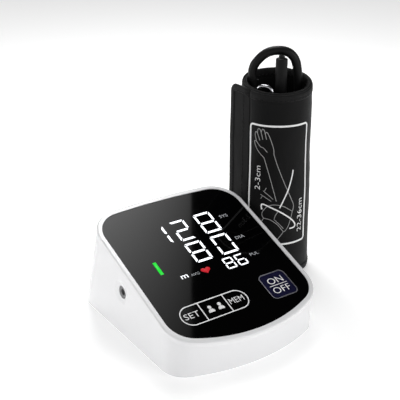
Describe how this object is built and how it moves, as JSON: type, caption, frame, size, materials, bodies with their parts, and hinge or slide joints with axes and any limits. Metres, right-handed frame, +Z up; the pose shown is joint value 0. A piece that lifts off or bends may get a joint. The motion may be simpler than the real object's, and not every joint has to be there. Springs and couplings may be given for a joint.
{
  "type": "blood pressure monitor with arm cuff",
  "caption": "Wedge-shaped home blood pressure monitor with a glossy sloping display face and keys, and its rolled upper-arm cuff with air hose and plug.",
  "frame": {"origin": "on the table, below the middle of the box round the monitor and the rolled cuff, without the hose", "axes": "+X along the monitor's width towards the cuff, +Y from the monitor's front to its back, +Z up"},
  "size_m": [0.1624, 0.1325, 0.1599],
  "materials": {
    "housing": "glossy white moulded plastic",
    "cover": "fine matte white plastic",
    "rubber": "matt black rubber",
    "steel": "plain steel",
    "cell": "printed sleeve",
    "contact": "nickel plated",
    "lens": "deep gloss black",
    "outline": "satin white",
    "silver": "satin silver",
    "display": "matt dark",
    "board": "green solder mask",
    "chip": "matt black",
    "pump": "matt dark",
    "socket": "satin white",
    "silicone": "translucent silicone",
    "key": "gloss black",
    "power_key": "gloss dark navy",
    "liner": "plain woven nylon",
    "bladder": "thin film",
    "fabric": "black coated nylon",
    "binding": "woven tape",
    "hose": "satin black",
    "plug": "satin black",
    "hook": "hook tape",
    "chrome": "polished"
  },
  "bodies": {
    "monitor": {"top_frame": "housing", "main_housing": "housing", "base_cover": "cover", "rubber_feet": "rubber", "case_screws": "steel", "battery_cells": "cell", "battery_springs": "contact", "contact_plates": "contact", "front_panel": "lens", "key_outline": "outline", "power_key_outline": "silver", "display_module": "display", "main_board": "board", "board_screws": "steel", "board_components": "chip", "key_switches": "chip", "buzzer": "chip", "usb_socket": "steel", "usb_board": "board", "pump_motor": "steel", "pump_head": "pump", "release_valve": "pump", "pressure_sensor": "chip", "air_socket": "socket", "air_tubes": "silicone", "air_manifold": "socket"},
    "key_set": {"key_set": "key"},
    "key_user": {"key_user": "key"},
    "key_memory": {"key_memory": "key"},
    "key_power": {"key_power": "power_key"},
    "battery_door": {"battery_door": "cover"},
    "cuff": {"inner_fabric": "liner", "air_bladder": "bladder", "outer_fabric": "fabric", "edge_binding": "binding", "d_bar_strap": "binding", "hose_port": "hose", "hose_coil": "hose", "hose_arch": "hose", "hose_riser": "hose", "plug_boot": "plug", "air_plug": "plug"},
    "flap": {"closing_flap": "fabric", "hook_tape": "hook"},
    "d_bar": {"d_bar": "chrome"}
  },
  "joints": [
    {"name": "key_set_press", "type": "slide", "parent": "monitor", "child": "key_set", "axis": [0, 0.3527, -0.9358], "range_m": [0, 0.0006], "stiffness_N_per_m": 1500},
    {"name": "key_user_press", "type": "slide", "parent": "monitor", "child": "key_user", "axis": [0, 0.3527, -0.9358], "range_m": [0, 0.0006], "stiffness_N_per_m": 1500},
    {"name": "key_memory_press", "type": "slide", "parent": "monitor", "child": "key_memory", "axis": [0, 0.3527, -0.9358], "range_m": [0, 0.0006], "stiffness_N_per_m": 1500},
    {"name": "key_power_press", "type": "slide", "parent": "monitor", "child": "key_power", "axis": [0, 0.3527, -0.9358], "range_m": [0, 0.0006], "stiffness_N_per_m": 1500},
    {"name": "battery_door_slide", "type": "slide", "parent": "monitor", "child": "battery_door", "axis": [0, 1, 0], "range_m": [0, 0.05]},
    {"name": "cuff_lift", "type": "slide", "parent": "monitor", "child": "cuff", "axis": [0, 0, 1], "range_m": [0, 0.16]},
    {"name": "flap_peel", "type": "hinge", "parent": "cuff", "child": "flap", "pos_m": [0.03292, 0.02677, 0.069], "axis": [0, 0, 1], "range_deg": [0, 6]},
    {"name": "d_bar_swing", "type": "hinge", "parent": "cuff", "child": "d_bar", "pos_m": [0.03936, 0.02934, 0.085], "axis": [0, 0, 1], "range_deg": [-10, 25]}
  ]
}
